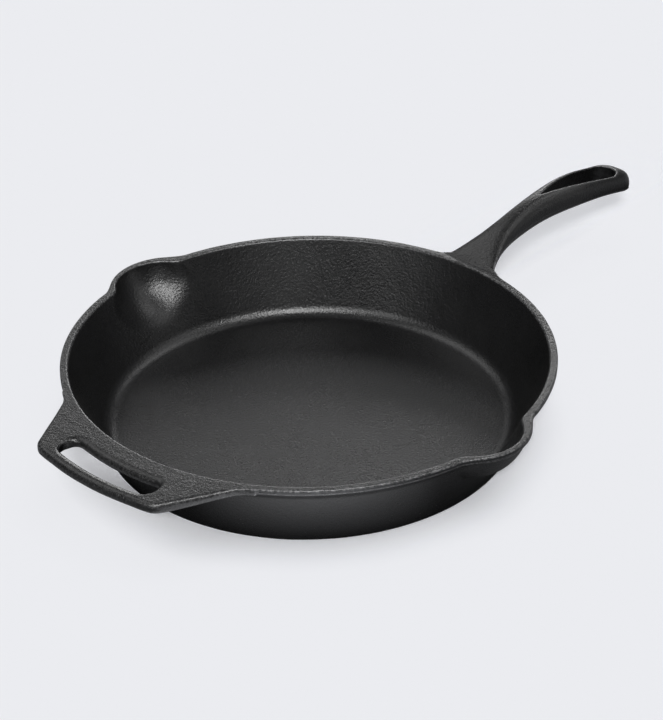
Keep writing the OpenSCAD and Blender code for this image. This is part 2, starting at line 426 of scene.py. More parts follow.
    def outer_field(self, x: Array, y: Array, z: Array) -> tuple[Array, Array]:
        """Distances from the pan's outside, negative within it.

        Args:
            x: Positions along X.
            y: Positions along Y.
            z: Heights above the base.

        Returns:
            Distance outside the filled pan, and distance outside its wall alone.
        """
        angle = np.arctan2(y, x)
        edge = self.edge(angle)
        wall = self.outside(angle, np.clip(z, 0.0, self.height - self.edge_r))
        side = (np.hypot(x, y) - wall) / self.slant
        above = z - self.height + 0.0 * side
        corner = np.hypot(np.maximum(side + edge, 0.0), np.maximum(above + edge, 0.0)) - edge
        return np.where((side > -edge) & (above > -edge), corner, np.maximum(side, above)), side


@dataclass
class PanGrid:
    """Grid over the pan's wall, rim and spouts: rows along the section, columns round the axis."""

    form: PanForm
    spout_half: float = 14.0
    spout_in_z: float = 25.5
    spout_out_z: float = 21.5
    coarse: float = 0.5
    fine: float = 0.2
    fillet_rows: int = 24
    low_rows: int = 14
    scoop_rows: int = 44
    high_rows: int = 5
    edge_rows: int = 7
    land_rows: int = 6
    bead_rows: int = 26
    foot_rows: int = 45
    base_rows: int = 17
    bead_below: float = 1.5
    row_gap: float = 0.02
    points: Array = field(init=False)
    normals: Array = field(init=False)
    angles: Array = field(init=False)
    rows: dict[str, int] = field(init=False)

    def __post_init__(self) -> None:
        """Lays out the columns and rows and works out every point."""
        self.angles = self.columns()
        self.points = self.surface()
        self.normals = self.directions(self.points)
        self.points = self.points - self.form.face.swell(self.points)[..., None] * self.normals
        self.normals = self.directions(self.points)

    def columns(self) -> Array:
        """Angles of the columns, close together over the spouts.

        Returns:
            Angles in degrees, rising from a little before -90.
        """
        half = self.spout_half
        over = np.arange(-half, half, self.fine)
        plain = np.arange(half, 180.0 - half, self.coarse)
        return np.concatenate([side - 90.0 + part for side in (0.0, 180.0) for part in (over, plain)])

    def surface(self) -> Array:
        """Lays the rows from the floor's edge up the inside, over the rim and down the outside.

        Returns:
            Points by row and column.
        """
        form = self.form
        angle = np.radians(self.angles)[None, :]
        lean = math.degrees(math.atan(form.inner_lean))
        turn = np.radians(np.linspace(-90.0, -lean, self.fillet_rows + 1))
        edge_z = form.height - form.edge_r
        bead_foot = form.bead_z - self.bead_below
        fillet_z = form.floor_t + form.fillet_r * (1.0 + np.sin(turn))
        low = steps(fillet_z[-1], self.spout_in_z, self.low_rows)
        scoop = steps(self.spout_in_z, form.bead_z, self.scoop_rows)
        high = steps(form.bead_z, edge_z, self.high_rows)
        inner_z = np.concatenate([fillet_z, low, scoop, high])
        quarter = np.radians(steps(0.0, 90.0, self.edge_rows))[:, None]
        bead = steps(edge_z, bead_foot, self.bead_rows)
        foot = steps(bead_foot, self.spout_out_z, self.foot_rows)
        base = steps(self.spout_out_z, form.floor_t, self.base_rows)
        outer_z = np.concatenate([bead, foot, base])

        inner_r = form.inside(angle, inner_z[:, None])
        top_in_z = form.height - form.edge_r * (1.0 - np.sin(quarter)) + 0.0 * angle
        top_in_r = form.inside(angle, top_in_z, form.edge_r * (1.0 - np.cos(quarter)))
        edge = form.edge(angle)
        top_out_z = form.height - edge * (1.0 - np.sin(quarter[::-1]))
        top_out_r = form.outside(angle, top_out_z, edge * (1.0 - np.cos(quarter[::-1])))
        side_z = form.height - edge + 0.0 * angle
        side_r = form.outside(angle, side_z)
        outer_zz = np.minimum(outer_z[:, None] + 0.0 * angle, side_z - self.row_gap)
        outer_r = form.outside(angle, outer_zz)
        share = steps(0.0, 1.0, self.land_rows)[:-1, None]
        land_r = top_in_r[-1:] + (top_out_r[:1] - top_in_r[-1:]) * share
        land_z = np.full_like(land_r, form.height)

        radius = np.concatenate([inner_r, top_in_r, land_r, top_out_r, side_r, outer_r])
        inner_zz = np.broadcast_to(inner_z[:, None], inner_r.shape)
        z = np.concatenate([inner_zz, top_in_z, land_z, top_out_z, side_z, outer_zz])
        top = len(inner_z) + len(quarter) + len(share) + len(quarter) + 1
        self.rows = {
            "spout_in": len(fillet_z) + len(low) - 1,
            "bead_in": len(inner_z) - len(high) - 1,
            "edge_in": len(inner_z) - 1,
            "edge_out": top - 1,
            "bead_out": top + len(bead) - 1,
            "spout_out": top + len(bead) + len(foot) - 1,
            "foot": len(radius) - 1,
        }
        return np.stack([radius * np.cos(angle), radius * np.sin(angle), z], axis=-1)

    @staticmethod
    def directions(points: Array) -> Array:
        """Normals of a grid that closes on itself round the axis.

        Args:
            points: Points by row and column.

        Returns:
            Unit normals, one for each point.
        """
        along = np.gradient(points, axis=0)
        round_axis = np.roll(points, -1, axis=1) - np.roll(points, 1, axis=1)
        normal = np.cross(along, round_axis)
        return normal / np.maximum(np.linalg.norm(normal, axis=-1, keepdims=True), TINY)

    def nearest(self, angle: float) -> int:
        """Column nearest to an angle in degrees."""
        return int(np.argmin(np.abs((self.angles - angle + 180.0) % 360.0 - 180.0)))

    def between(self, start: float, end: float) -> list[int]:
        """Columns from one angle to another.

        Args:
            start: Angle of the first column in degrees.
            end: Angle of the last column in degrees.

        Returns:
            The columns in order, both ends included.
        """
        count = len(self.angles)
        first = self.nearest(start)
        return [(first + i) % count for i in range((self.nearest(end) - first) % count + 1)]

    def around(self, side: Side, reach: float) -> list[int]:
        """Columns within a reach in degrees of the middle of a side."""
        return self.between(side.value - reach, side.value + reach)

    def parts(self, faces: Faces) -> MeshParts:
        """Gathers the grid points that some faces use.

        Args:
            faces: Faces as lists of row and column.

        Returns:
            The points, faces and normals of one piece.
        """
        order: dict[tuple[int, int], int] = {}
        listed = [[order.setdefault(corner, len(order)) for corner in face] for face in faces]
        keys = np.array(list(order))
        return MeshParts(self.points[keys[:, 0], keys[:, 1]], listed, self.normals[keys[:, 0], keys[:, 1]])

    def patch(self, columns: list[int], first: int, last: int) -> Faces:
        """Faces of the grid between two rows over some neighbouring columns."""
        pairs = product(zip(columns, columns[1:]), range(first, last))
        return [[(j, a), (j + 1, a), (j + 1, b), (j, b)] for (a, b), j in pairs]

    def strip(self, columns: list[int], low: int, high: int) -> Faces:
        """Faces through the iron between two rows, on the side of the lower row's end."""
        return [[(high, a), (low, a), (low, b), (high, b)] for a, b in zip(columns, columns[1:])]

    def end(self, column: int, inner: range, outer: range) -> Faces:
        """Faces across the iron at one column, seen from the side of the lower angles.

        Args:
            column: The column.
            inner: Rows of the inside from low to high.
            outer: Rows of the outside from low to high.

        Returns:
            Triangles that climb both rows together.
        """
        faces: Faces = []
        i = j = 0
        while i < len(inner) - 1 or j < len(outer) - 1:
            in_z = self.points[inner[i + 1], column, 2] if i < len(inner) - 1 else math.inf
            out_z = self.points[outer[j + 1], column, 2] if j < len(outer) - 1 else math.inf
            step = inner[i + 1] if in_z <= out_z else outer[j + 1]
            faces.append([(inner[i], column), (outer[j], column), (step, column)])
            if in_z <= out_z:
                i += 1
            else:
                j += 1
        return faces

    def crown(self, columns: list[int], inner: int, outer: int) -> MeshParts:
        """A closed piece over the rim.

        Args:
            columns: Columns that it covers.
            inner: Row on the inside where it starts.
            outer: Row on the outside where it ends.

        Returns:
            The points, faces and normals of the piece.
        """
        faces = self.patch(columns, inner, outer) + self.strip(columns, inner, outer)
        top_in, top_out = self.rows["edge_in"], self.rows["edge_out"]
        for column, backwards in ((columns[0], False), (columns[-1], True)):
            cap = self.end(column, range(inner, top_in + 1), range(outer, top_out - 1, -1))
            cap.append([(j, column) for j in range(top_out, top_in - 1, -1)])
            faces += [face[::-1] for face in cap] if backwards else cap
        return self.parts(faces)

    def rim(self, side: Side) -> MeshParts:
        """Beaded rim between the two spouts."""
        columns = self.around(side, 90.0 - self.spout_half)
        return self.crown(columns, self.rows["bead_in"], self.rows["bead_out"])

    def spout(self, side: Side) -> MeshParts:
        """Pouring lip with its bowl."""
        columns = self.around(side, self.spout_half)
        return self.crown(columns, self.rows["spout_in"], self.rows["spout_out"])

    def wall(self, side: Side) -> MeshParts:
        """Half of the wall, with the fillet into the floor and a notch for each spout.

        Args:
            side: Side of the pan on which it lies.

        Returns:
            The points, faces and normals of the piece.
        """
        reach = 90.0 - self.spout_half
        runs = [
            (self.between(side.value - 90.0, side.value - reach), "spout_in", "spout_out"),
            (self.around(side, reach), "bead_in", "bead_out"),
            (self.between(side.value + reach, side.value + 90.0), "spout_in", "spout_out"),
        ]
        foot = self.rows["foot"]
        faces: Faces = []
        for columns, inner, outer in runs:
            top_in, top_out = self.rows[inner], self.rows[outer]
            faces += self.patch(columns, 0, top_in) + self.patch(columns, top_out, foot)
            faces += self.strip(columns, top_out, top_in) + self.strip(columns, 0, foot)
        step_in = range(self.rows["spout_in"], self.rows["bead_in"] + 1)
        step_out = range(self.rows["spout_out"], self.rows["bead_out"] - 1, -1)
        low_in = range(0, self.rows["spout_in"] + 1)
        low_out = range(foot, self.rows["spout_out"] - 1, -1)
        faces += self.end(runs[1][0][0], step_in, step_out) + self.end(runs[0][0][0], low_in, low_out)
        back = self.end(runs[1][0][-1], step_in, step_out) + self.end(runs[2][0][-1], low_in, low_out)
        return self.parts(faces + [face[::-1] for face in back])


@dataclass
class PanFloor:
    """Flat base and cooking floor, with the rounded heel outside."""

    form: PanForm
    columns: int = 720
    fewest: int = 45
    most_halvings: int = 4
    flat_rows: int = 33
    heel_rows: int = 12
    middle: float = 0.06
    slack: float = 0.999
    level_gap: float = 0.01
    foot_gap: float = 0.5
    least: float = 1e-6

    def rings(self) -> list[tuple[float, float, int]]:
        """Lists the rings from the top's middle over the heel to the base's middle.

        Returns:
            Radius, height and number of points of each ring.
        """
        form = self.form
        shares = np.linspace(self.middle, 1.0, self.flat_rows + 1)
        inner = [(form.floor_r * share, form.floor_t) for share in shares]
        foot = float(form.outside(np.array(0.0), np.array(form.floor_t)))
        lean = math.degrees(math.atan(form.lean))
        turn = np.radians(np.linspace(-lean, -90.0, self.heel_rows + 1))
        heel_z = form.heel_r * (1.0 + np.sin(turn))
        heel_r = form.outside(np.zeros_like(heel_z), heel_z)
        heel = list(zip(heel_r.tolist(), heel_z.tolist()))
        base = [(heel[-1][0] * share, 0.0) for share in steps(1.0, self.middle, self.flat_rows)]
        listed = inner + [(foot, form.floor_t)] + heel + base
        return [(r, z, self.count(r)) for r, z in listed]

    def count(self, radius: float) -> int:
        """Number of points on a ring, halved as the rings close in."""
        halvings = max(0, math.floor(math.log2(self.form.floor_r * self.slack / radius)))
        return max(self.columns >> min(halvings, self.most_halvings), self.fewest)

    def parts(self) -> MeshParts:
        """Joins the rings into a closed disc.

        Returns:
            The points, faces and normals of the piece.
        """
        form = self.form
        rings = self.rings()
        points: list[Spot] = []
        faces: list[list[int]] = []
        starts: list[int] = []
        for radius, z, count in rings:
            starts.append(len(points))
            turns = np.arange(count) * (2.0 * math.pi / count)
            points += [(radius * math.cos(a), radius * math.sin(a), z) for a in turns]
        for (a, (_, _, n)), (b, (_, _, m)) in zip(zip(starts, rings), zip(starts[1:], rings[1:])):
            faces += self.stitch(a, n, b, m)
        faces.append(list(range(starts[0], starts[0] + rings[0][2])))
        faces.append(list(range(starts[-1] + rings[-1][2] - 1, starts[-1] - 1, -1)))
        placed = np.array(points)
        on_top = placed[:, 2] > form.floor_t - self.level_gap
        radius = np.hypot(placed[:, 0], placed[:, 1])
        out = np.maximum(radius - form.heel_axis, 0.0)
        down = np.where(on_top, 1.0, -np.maximum(form.heel_r - placed[:, 2], self.least))
        side = np.where(on_top, 0.0, out) / np.maximum(radius, self.least)
        at_foot = on_top & (radius > form.floor_r + self.foot_gap)
        down = np.where(at_foot, -form.lean, down)
        side = np.where(at_foot, 1.0 / np.maximum(radius, self.least), side)
        normals = np.stack([placed[:, 0] * side, placed[:, 1] * side, down], axis=-1)
        normals /= np.linalg.norm(normals, axis=-1, keepdims=True)
        placed = placed - form.face.swell(placed)[:, None] * normals
        return MeshParts(placed, faces, normals)

    @staticmethod
    def stitch(first: int, n: int, second: int, m: int) -> list[list[int]]:
        """Faces between two rings whose counts are equal or one twice the other.

        Args:
            first: Index of the first ring's first point.
            n: Number of its points.
            second: Index of the second ring's first point.
            m: Number of its points.

        Returns:
            Faces wound from the first ring to the second.
        """
        def at(start: int, i: int, count: int) -> int:
            """Index of a ring's point, round and round."""
            return start + i % count

        if n == m:
            return [
                [at(first, i, n), at(second, i, m), at(second, i + 1, m), at(first, i + 1, n)]
                for i in range(n)
            ]
        faces: list[list[int]] = []
        for i in range(min(n, m)):
            if m > n:
                a, b = at(first, i, n), at(first, i + 1, n)
                c, d, e = (at(second, 2 * i + k, m) for k in range(3))
                faces += [[a, c, d], [a, d, b], [b, d, e]]
            else:
                a, b = at(second, i, m), at(second, i + 1, m)
                c, d, e = (at(first, 2 * i + k, n) for k in range(3))
                faces += [[a, d, c], [a, b, d], [b, e, d]]
        return faces


@dataclass
class FieldMesher:
    """Turns a distance field on a regular grid into a closed mesh."""

    low: Spot
    high: Spot
    step: float
    rounds: int = 2
    least_slope: float = 0.05
    most_move: float = 0.5

    def axes(self) -> list[Array]:
        """Grid positions along X, Y and Z."""
        return [np.arange(a, b + self.step, self.step) for a, b in zip(self.low, self.high)]

    def grid(self) -> tuple[Array, Array, Array]:
        """Positions of every grid point, ready to be combined."""
        x, y, z = self.axes()
        return x[:, None, None], y[None, :, None], z[None, None, :]

    def parts(self, values: Array) -> MeshParts:
        """Points, faces and normals of the surface where the field is nothing.

        Args:
            values: Field at every grid point, negative inside the solid.

        Returns:
            A closed mesh, with normals that follow the field.
        """
        cells, place = self.crossings(values)
        faces = self.quads(values, cells)
        slopes = np.stack(np.gradient(values), axis=-1)
        for _ in range(self.rounds):
            value, slope = self.sample(values, place), self.sample(slopes, place)
            steep = np.maximum((slope * slope).sum(axis=-1), self.least_slope)
            place = place - np.clip(value / steep, -self.most_move, self.most_move)[:, None] * slope
        slope = self.sample(slopes, place)
        normals = slope / np.maximum(np.linalg.norm(slope, axis=-1, keepdims=True), TINY)
        points = np.array(self.low) + place * self.step
        used = np.unique(faces)
        order = np.full(len(points), -1)
        order[used] = np.arange(len(used))
        return MeshParts(points[used], order[faces].tolist(), normals[used])

    @staticmethod
    def crossings(values: Array) -> tuple[Array, Array]:
        """Cells that the surface passes through, and a point in each.

        Args:
            values: Field at every grid point.

        Returns:
            Index of each cell's point, -1 where it has none, and the points in grid steps.
        """
        shape = np.array(values.shape) - 1
        total = np.zeros((*shape, 3))
        count = np.zeros(shape)
        base = np.stack(np.meshgrid(*[np.arange(n) for n in shape], indexing="ij"), axis=-1)
        for axis in range(3):
            lower, upper = [slice(None)] * 3, [slice(None)] * 3
            lower[axis], upper[axis] = slice(None, -1), slice(1, None)
            a, b = values[tuple(lower)], values[tuple(upper)]
            crossed = (a < 0.0) != (b < 0.0)
            share = np.where(crossed, a / np.where(crossed, a - b, 1.0), 0.0)
            others = [k for k in range(3) if k != axis]
            for shifts in product((0, 1), repeat=2):
                part = [slice(None)] * 3
                offset = np.zeros(3)
                for other, shift in zip(others, shifts):
                    part[other] = slice(shift, shift + shape[other])
                    offset[other] = shift
                hit = crossed[tuple(part)]
                spot = base + offset
                spot[..., axis] = spot[..., axis] + share[tuple(part)]
                total += spot * hit[..., None]
                count += hit
        active = count > 0
        cells = np.full(shape, -1)
        cells[active] = np.arange(int(active.sum()))
        return cells, total[active] / count[active][:, None]

    @staticmethod
    def quads(values: Array, cells: Array) -> Array:
        """Faces across every grid edge that the surface crosses.

        Args:
            values: Field at every grid point.
            cells: Index of each cell's point.

        Returns:
            Four point indices for each face, facing out of the solid.
        """
        found: list[Array] = []
        for axis in range(3):
            u, v = (axis + 1) % 3, (axis + 2) % 3
            inner = [slice(None)] * 3
            inner[u], inner[v] = slice(1, -1), slice(1, -1)
            low, high = list(inner), list(inner)
            low[axis], high[axis] = slice(None, -1), slice(1, None)
            a, b = values[tuple(low)] < 0.0, values[tuple(high)] < 0.0
            corners = []
            for du, dv in ((0, 0), (1, 0), (1, 1), (0, 1)):
                part = [slice(None)] * 3
                part[u] = slice(du, cells.shape[u] - 1 + du)
                part[v] = slice(dv, cells.shape[v] - 1 + dv)
                corners.append(cells[tuple(part)])
            ring = np.stack(corners, axis=-1)
            found += [ring[a & ~b], ring[b & ~a][:, ::-1]]
        return np.concatenate(found)

    @staticmethod
    def sample(values: Array, place: Array) -> Array:
        """Grid values at places between the grid points.

        Args:
            values: One number or vector for every grid point.
            place: Places in grid steps.

        Returns:
            A number or vector for each place.
        """
        cell = np.clip(np.floor(place).astype(int), 0, np.array(values.shape[:3]) - 2)
        part = place - cell
        total = 0.0
        for corner in product((0, 1), repeat=3):
            near = np.where(np.array(corner) > 0, part, 1.0 - part)
            weight = near[:, 0] * near[:, 1] * near[:, 2]
            value = values[tuple((cell + np.array(corner)).T)]
            total = total + (weight[:, None] * value if value.ndim == 2 else weight * value)
        return total


@dataclass(frozen=True)
class Seat:
    """How a handle grows out of the pan's wall."""

    blend: float
    sunk: float = 0.15
    depth: float = 2.0
    most_growth: float = 0.95

    def join(self, body: Array, pan: Array, side: Array, above: Array) -> Array:
        """Field of a handle with its fillet along the wall.

        Args:
            body: Field of the plain handle.
            pan: Distance outside the filled pan.
            side: Distance outside the pan's wall.
            above: Height above the surface that the fillet must not pass.

        Returns:
            A field that ends a little inside the wall.
        """
        joined = np.maximum(smooth_min(body, pan + self.sunk, self.blend), above)
        joined = np.maximum(joined, -(side + self.depth))
        return np.maximum(joined, body - self.most_growth * self.blend)

    def cast(self, form: PanForm, mesher: FieldMesher, body: Array, above: Array) -> MeshParts:
        """Joins a handle to the pan and gives it a sand-cast face.

        Args:
            form: The pan.
            mesher: Grid on which the fields are worked out.
            body: Field of the plain handle.
            above: Height above the surface that the fillet must not pass.

        Returns:
            A closed mesh of the handle.
        """
        x, y, z = mesher.grid()
        joined = self.join(body, *form.outer_field(x, y, z), np.broadcast_to(above, body.shape))
        spots = np.stack(np.broadcast_arrays(x, y, z), axis=-1)
        return mesher.parts(joined + form.face.swell(spots))


def rounded_slab(side: Array, top: Array, bottom: Array, reach: Array, drop: Array) -> Array:
    """Field of a slab whose upright side is rounded over at both faces.

    Args:
        side: Distance outside the slab's outline.
        top: Height above its top face.
        bottom: Depth below its bottom face.
        reach: Width of the rounding across the face.
        drop: Height of the rounding.

    Returns:
        A field, negative inside the slab.
    """
    across = np.maximum(side + reach, 0.0) / reach
    up = np.maximum(np.maximum(top, bottom) + drop, 0.0) / drop
    curved = (np.hypot(across, up) - 1.0) * np.minimum(reach, drop)
    plain = np.maximum(side, np.maximum(top, bottom))
    return np.where((across > 0.0) & (up > 0.0), curved, plain)


@dataclass
class HelperHandle:
    """Short plate handle with a finger slot, level with the rim.

    A pair gives where a form comes in or fades: by the distance from the plate's middle line where its
    name ends in half, by the radius for bar_r, and by how squarely the slot's edge faces the bar or
    the pan where its name ends in turn.
    """

    form: PanForm
    reach: float = 33.5
    thickness: float = 7.0
    runout_t: float = 4.5
    runout_half: Span = (52.0, 78.0)
    width: float = 105.0
    corner_r: float = 11.0
    arm_spread: float = 28.0
    arm_fillet_r: float = 25.0
    core_in: float = 20.0
    bar_w: float = 8.5
    bar_r: Span = (174.0, 177.0)
    bar_half: Span = (28.0, 46.0)
    slot_w: float = 14.0
    slot_l: float = 76.0
    slot_roll: float = 5.0
    slot_edge_r: float = 1.8
    to_bar_turn: Span = (0.2, 0.95)
    to_bar_half: Span = (30.0, 40.0)
    to_pan_turn: Span = (0.1, 0.9)
    edge_r: float = 2.6
    arm_edge_r: float = 1.0
    arm_edge_half: Span = (60.0, 78.0)
    round_gap: float = 0.15
    top_gap: float = 0.02
    under_blend: float = 4.0
    corner_steps: int = 16
    end_steps: int = 24
    bow_steps: int = 40
    grid_end: float = -112.0
    grid_half: float = 86.0
    grid_down: float = 24.0
    margin: float = 2.0
    step: float = 0.5

    def outline(self) -> Array:
        """Outline of the plate seen from above, growing along +X.

        Returns:
            Corners of the outline in order.
        """
        rim_r, bar_r = self.form.rim_r, self.form.rim_r + self.reach
        axis_r = bar_r - self.corner_r
        corner_a = math.asin((self.width / 2.0 - self.corner_r) / axis_r)
        spread = math.radians(self.arm_spread)
        corner = axis_r * np.array([math.cos(corner_a), math.sin(corner_a)])
        outward = np.array([math.sin(spread), math.cos(spread)])
        inward = np.array([-math.cos(spread), math.sin(spread)])
        start = corner + (self.corner_r + self.arm_fillet_r) * outward
        along = float(start @ inward)
        room = along**2 - float(start @ start) + (rim_r + self.arm_fillet_r) ** 2
        centre = start + (-along - math.sqrt(room)) * inward
        turn = math.degrees(math.atan2(centre[1], centre[0]))
        corner_a = math.degrees(corner_a)
        core_a = math.radians(turn)
        side = np.concatenate([
            arc(tuple(corner), self.corner_r, corner_a, 90.0 - self.arm_spread, self.corner_steps),
            arc(tuple(centre), self.arm_fillet_r, 270.0 - self.arm_spread, 180.0 + turn, self.bow_steps),
            (rim_r - self.core_in) * np.array([[math.cos(core_a), math.sin(core_a)]]),
        ])
        bar = arc((0.0, 0.0), bar_r, -corner_a, corner_a, self.bow_steps)[1:-1]
        return np.concatenate([side[::-1] * np.array([1.0, -1.0]), bar, side])

    def slot(self) -> Array:
        """Outline of the finger slot seen from above.

        Returns:
            Corners of the outline in order.
        """
        outer = self.form.rim_r + self.reach - self.bar_w
        inner = outer - self.slot_w
        middle = (outer + inner) / 2.0
        turn = math.degrees((self.slot_l - self.slot_w) / 2.0 / middle)
        centre = middle * np.array([math.cos(math.radians(turn)), math.sin(math.radians(turn))])
        end = arc(tuple(centre), self.slot_w / 2.0, turn, turn + 180.0, self.end_steps)
        bar_side = arc((0.0, 0.0), outer, -turn, turn, self.bow_steps)[1:-1]
        pan_side = arc((0.0, 0.0), inner, turn, -turn, self.bow_steps)[1:-1]
        return np.concatenate([end[::-1] * np.array([1.0, -1.0]), bar_side, end, pan_side])

    def rounding(self, x: Array, y: Array, slot: Array) -> list[Array]:
        """Sizes of the roundings along the plate's edge and along its slot.

        Args:
            x: Positions away from the pan, seen from above.
            y: Positions across, of the same shape.
            slot: Distance outside the slot's outline.

        Returns:
            Width and height for the plate's edge, then width and height for the slot's.
        """
        radius, across = np.hypot(x, y), np.abs(y)
        slope = np.stack(np.gradient(slot, self.step), axis=-1)
        away = (-slope[..., 0] * x + slope[..., 1] * y) / radius
        bar = ease(*self.bar_r, radius) * (1.0 - ease(*self.bar_half, across))
        to_bar = ease(*self.to_bar_turn, away) * (1.0 - ease(*self.to_bar_half, across))
        to_pan = ease(*self.to_pan_turn, -away)
        half = self.bar_w / 2.0
        tall = self.thickness / 2.0 - self.round_gap
        edge = self.edge_r + (self.arm_edge_r - self.edge_r) * ease(*self.arm_edge_half, across)
        plain = self.slot_edge_r
        sizes = (
            edge + (half - edge) * bar,
            edge + (tall - edge) * bar,
            plain + (half - plain) * to_bar + (self.slot_roll - plain) * to_pan,
            plain + (tall - plain) * to_bar + (tall - plain) * to_pan,
        )
        return [size[:, :, None] for size in sizes]

    def parts(self) -> MeshParts:
        """Builds the plate, its slot and its fillet under the rim.

        Returns:
            A closed mesh.
        """
        form = self.form
        mesher = FieldMesher(
            (-form.rim_r - self.reach - self.margin, -self.grid_half, form.height - self.grid_down),
            (self.grid_end, self.grid_half, form.height + self.margin),
            self.step,
        )
        x, y, z = mesher.grid()
        flat_x, flat_y = np.broadcast_arrays(-x[:, :, 0], y[:, :, 0])
        side = outline_distance(flat_x, flat_y, self.outline())
        slot = outline_distance(flat_x, flat_y, self.slot())
        edge_reach, edge_drop, slot_reach, slot_drop = self.rounding(flat_x, flat_y, slot)
        thin = ease(*self.runout_half, np.abs(flat_y))
        thickness = (self.thickness + (self.runout_t - self.thickness) * thin)[:, :, None]
        above, below = z - (form.height - self.top_gap), (form.height - thickness) - z
        plate = rounded_slab(side[:, :, None], above, below, edge_reach, edge_drop)
        cut = rounded_slab(-slot[:, :, None], above, below, slot_reach, slot_drop)
        return Seat(self.under_blend).cast(form, mesher, np.maximum(plate, cut), above)


@dataclass
class LongHandle:
    """Arched handle with a teardrop hanging hole."""

    form: PanForm
    length: float = 154.85
    crest_rise: float = 22.5
    crest_at: float = 75.0
    tip_drop: float = 13.0
    root_t: float = 5.0
    crest_t: float = 17.5
    tip_t: float = 16.5
    root_w: float = 38.0
    root_flare: float = 2.6
    neck_w: float = 17.0
    neck_at: float = 49.0
    grip_w: float = 26.0
    grip_back: float = 1.5
    tip_round: float = 15.0
    tip_power: float = 2.4
    tip_height: float = 0.5
    belly_power: float = 2.0
    grip_power: float = 3.2
    neck_power: float = 2.6
    root_power: float = 3.0
    grip_parting: float = 0.3
    root_parting: float = 0.75
    hole_l: float = 73.0
    hole_w: float = 19.0
    hole_land: float = 13.0
    hole_edge: float = 1.5
    hole_draft: float = 1.2
    hole_straight: float = 8.0
    hole_steps: int = 40
    seam_depth: float = 0.25
    seam_width: float = 0.7
    root_blend: float = 4.5
    top_gap: float = 0.02
    top_slope: float = 0.85
    past_tip: float = 6.0
    least_root: float = 1.0
    least_slope: float = 0.03
    grid_in: float = 16.0
    grid_half: float = 32.0
    grid_down: float = 30.0
    margin: float = 2.0
    step: float = 0.5

    def drop(self, x: Array, root_drop: float, end_drop: float) -> Array:
        """Drop below the crest of two arcs that meet level there.

        Args:
            x: Positions along the handle.
            root_drop: Drop at the root.
            end_drop: Drop at the tip.

        Returns:
            The drop at each position.
        """
        crest_x = self.form.rim_r + self.crest_at
        root_run = self.crest_at + self.form.edge_r
        tip_run = self.length - self.crest_at
        root_r = (root_run**2 + root_drop**2) / (2.0 * root_drop)
        tip_r = (tip_run**2 + end_drop**2) / (2.0 * end_drop)
        radius = np.where(x < crest_x, root_r, tip_r)
        run = np.clip(x - crest_x, -root_run, tip_run + self.past_tip)
        return radius - np.sqrt(np.maximum(radius**2 - run**2, self.least_root))

    def hole(self) -> Array:
        """Outline of the teardrop hole seen from above.

        Returns:
            Corners of the outline in order.
        """
        half = self.hole_w / 2.0
        straight = self.hole_l - half
        bow_r = (straight**2 + half**2) / (2.0 * half)
        bow = math.degrees(math.asin(straight / bow_r))
        centre = self.form.rim_r + self.length - self.hole_land - half
        return np.concatenate([
            arc((centre, 0.0), half, -90.0, 90.0, self.hole_steps),
            arc((centre, half - bow_r), bow_r, 90.0, 90.0 + bow, self.hole_steps)[1:],
            arc((centre, bow_r - half), bow_r, -90.0 - bow, -90.0, self.hole_steps)[1:-1],
        ])

    def body(self, x: Array, y: Array, z: Array) -> tuple[Array, Array]:
        """Field of the handle without its hole.

        Args:
            x: Positions along the handle.
            y: Positions across it.
            z: Heights above the base.

        Returns:
            The field, and the height of the handle's top along X.
        """
        form = self.form
        crest_z = form.height + self.crest_rise
        top = crest_z - self.drop(x, self.crest_rise, self.tip_drop)
        root_drop = self.crest_rise + self.root_t - self.crest_t
        low = crest_z - self.crest_t - self.drop(x, root_drop, self.tip_drop + self.tip_t - self.crest_t)
        root = 1.0 - np.clip((x - form.rim_r) / self.neck_at, 0.0, 1.0)
        grip_x = form.rim_r + self.length - self.hole_land - self.grip_back * self.hole_w
        swell = np.clip((x - form.rim_r - self.neck_at) / (grip_x - form.rim_r - self.neck_at), 0.0, 1.0)
        swell = (1.0 - np.cos(math.pi * swell)) / 2.0
        half = (
            self.neck_w
            + (self.root_w - self.neck_w) * root**self.root_flare
            + (self.grip_w - self.neck_w) * swell
        ) / 2.0
        parting = self.grip_parting + (self.root_parting - self.grip_parting) * root**2
        middle = low + parting * (top - low)
        upper = z >= middle
        square = (
            self.neck_power
            + (self.root_power - self.neck_power) * root
            + (self.grip_power - self.neck_power) * swell
        )
        power = np.where(upper, square, self.belly_power)
        height = np.where(upper, top - middle, middle - low)
        end = np.maximum(x - (form.rim_r + self.length - self.tip_round), 0.0) / self.tip_round
        share = np.maximum(1.0 - np.minimum(end, 1.0) ** self.tip_power, 0.0) ** (1.0 / self.tip_power)
        squat = self.tip_height + (1.0 - self.tip_height) * share
        tall = np.abs(z - middle) / height * share / squat
        section = (np.abs(y) / half) ** power + tall**power
        level = (section ** (self.tip_power / power) + end**self.tip_power) ** (1.0 / self.tip_power) - 1.0
        slopes = np.stack(np.gradient(level, self.step), axis=-1)
        steep = np.maximum(np.linalg.norm(slopes, axis=-1), self.least_slope)
        seam = self.seam_depth * np.exp(-(((z - middle) / self.seam_width) ** 2)) * (1.0 - root)
        return level / steep + seam, top

